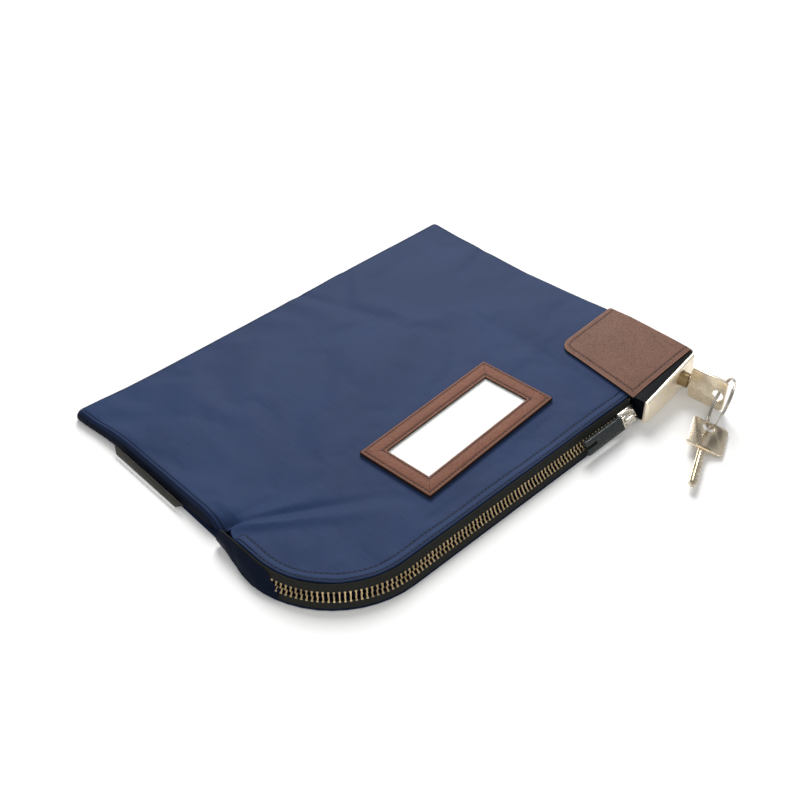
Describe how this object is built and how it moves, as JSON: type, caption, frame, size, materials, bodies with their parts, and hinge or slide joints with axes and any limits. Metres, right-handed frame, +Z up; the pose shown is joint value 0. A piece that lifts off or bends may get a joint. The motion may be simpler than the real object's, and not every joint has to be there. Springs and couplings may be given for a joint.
{
  "type": "cash deposit bag",
  "caption": "Locking zip bag for cash deposits: flat cloth pouch with a metal zip round one corner, a key lock at its end, a card window and keys on a split ring.",
  "frame": {"origin": "centre of the bag's rectangle on its flat underside", "axes": "+X along the zip edge towards the lock, the zip edge faces -Y, +Z up"},
  "size_m": [0.3127, 0.2949, 0.0336],
  "materials": {
    "top_panel": "fine woven nylon, slight sheen",
    "bottom_panel": "fine woven nylon, slight sheen",
    "zip_tape": "woven, near black",
    "zip_teeth": "antique brass",
    "corner_leatherette": "grained leatherette, satin",
    "frame_leatherette": "grained leatherette, satin",
    "clear_vinyl": "clear vinyl",
    "white_card": "plain white card",
    "tag_vinyl": "clear vinyl, olive tint",
    "nickel": "nickel plate, polished",
    "spring_steel": "plain steel",
    "grey_sleeve": "translucent grey vinyl",
    "lock_nickel": "nickel plate, warm, lightly grained",
    "barrel_brass": "dark brass",
    "plug_brass": "brass",
    "wafer_brass": "brass",
    "key_nickel": "nickel plate, polished",
    "ring_nickel": "nickel plate"
  },
  "bodies": {
    "bag": {"top_panel": "top_panel", "bottom_panel": "bottom_panel", "upper_zip_tape": "zip_tape", "lower_zip_tape": "zip_tape", "upper_teeth": "zip_teeth", "lower_teeth": "zip_teeth", "zip_end_box": "zip_teeth", "zip_top_stop": "zip_teeth", "corner_patch_top": "corner_leatherette", "corner_patch_bottom": "corner_leatherette", "label_frame": "frame_leatherette", "label_window": "clear_vinyl", "label_card": "white_card", "side_tag_sleeve": "tag_vinyl", "side_tag_insert": "white_card", "lock_housing": "lock_nickel", "lock_back_plate": "spring_steel"},
    "slider": {"slider_front_plate": "nickel", "slider_back_plate": "nickel", "slider_bridge": "nickel", "slider_lug": "spring_steel"},
    "pull": {"pull_tab": "nickel", "pull_sleeve": "grey_sleeve"},
    "plunger": {"plunger_barrel": "barrel_brass", "latch_arm": "spring_steel", "plunger_spring": "spring_steel"},
    "plug": {"cylinder_plug": "plug_brass", "wafer_1": "wafer_brass", "wafer_2": "wafer_brass", "wafer_3": "wafer_brass", "wafer_4": "wafer_brass", "plug_retainer": "spring_steel"},
    "key_1": {"key_1": "key_nickel"},
    "ring": {"key_ring": "ring_nickel"},
    "key_2": {"key_2": "key_nickel"}
  },
  "joints": [
    {"name": "slider_travel", "type": "slide", "parent": "bag", "child": "slider", "axis": [-1, 0, 0], "range_m": [0, 0.168]},
    {"name": "pull_swing", "type": "hinge", "parent": "slider", "child": "pull", "pos_m": [0.083, -0.12197, 0.00814], "axis": [0, 0.5268, 0.85], "range_deg": [0, 100]},
    {"name": "plunger_push", "type": "slide", "parent": "bag", "child": "plunger", "axis": [-0.1045, 0.9945, 0], "range_m": [0, 0.004], "stiffness_N_per_m": 250, "springref_m": -0.012, "deforming": ["plunger_spring"]},
    {"name": "plug_turn", "type": "hinge", "parent": "plunger", "child": "plug", "pos_m": [0.132, -0.1206, 0.011], "axis": [0.1045, -0.9945, 0], "range_deg": [0, 90]},
    {"name": "key_pull", "type": "slide", "parent": "plug", "child": "key_1", "axis": [0.1045, -0.9945, 0], "range_m": [0, 0.036]},
    {"name": "ring_swing", "type": "hinge", "parent": "key_1", "child": "ring", "pos_m": [0.13495, -0.14864, 0.011], "axis": [0.9945, 0.1045, 0], "range_deg": [-30, 0]},
    {"name": "key_2_swing", "type": "hinge", "parent": "ring", "child": "key_2", "pos_m": [0.1126, -0.1586, 0.0043], "axis": [0.1102, -0.2342, 0.9659], "range_deg": [-15, 15]}
  ]
}
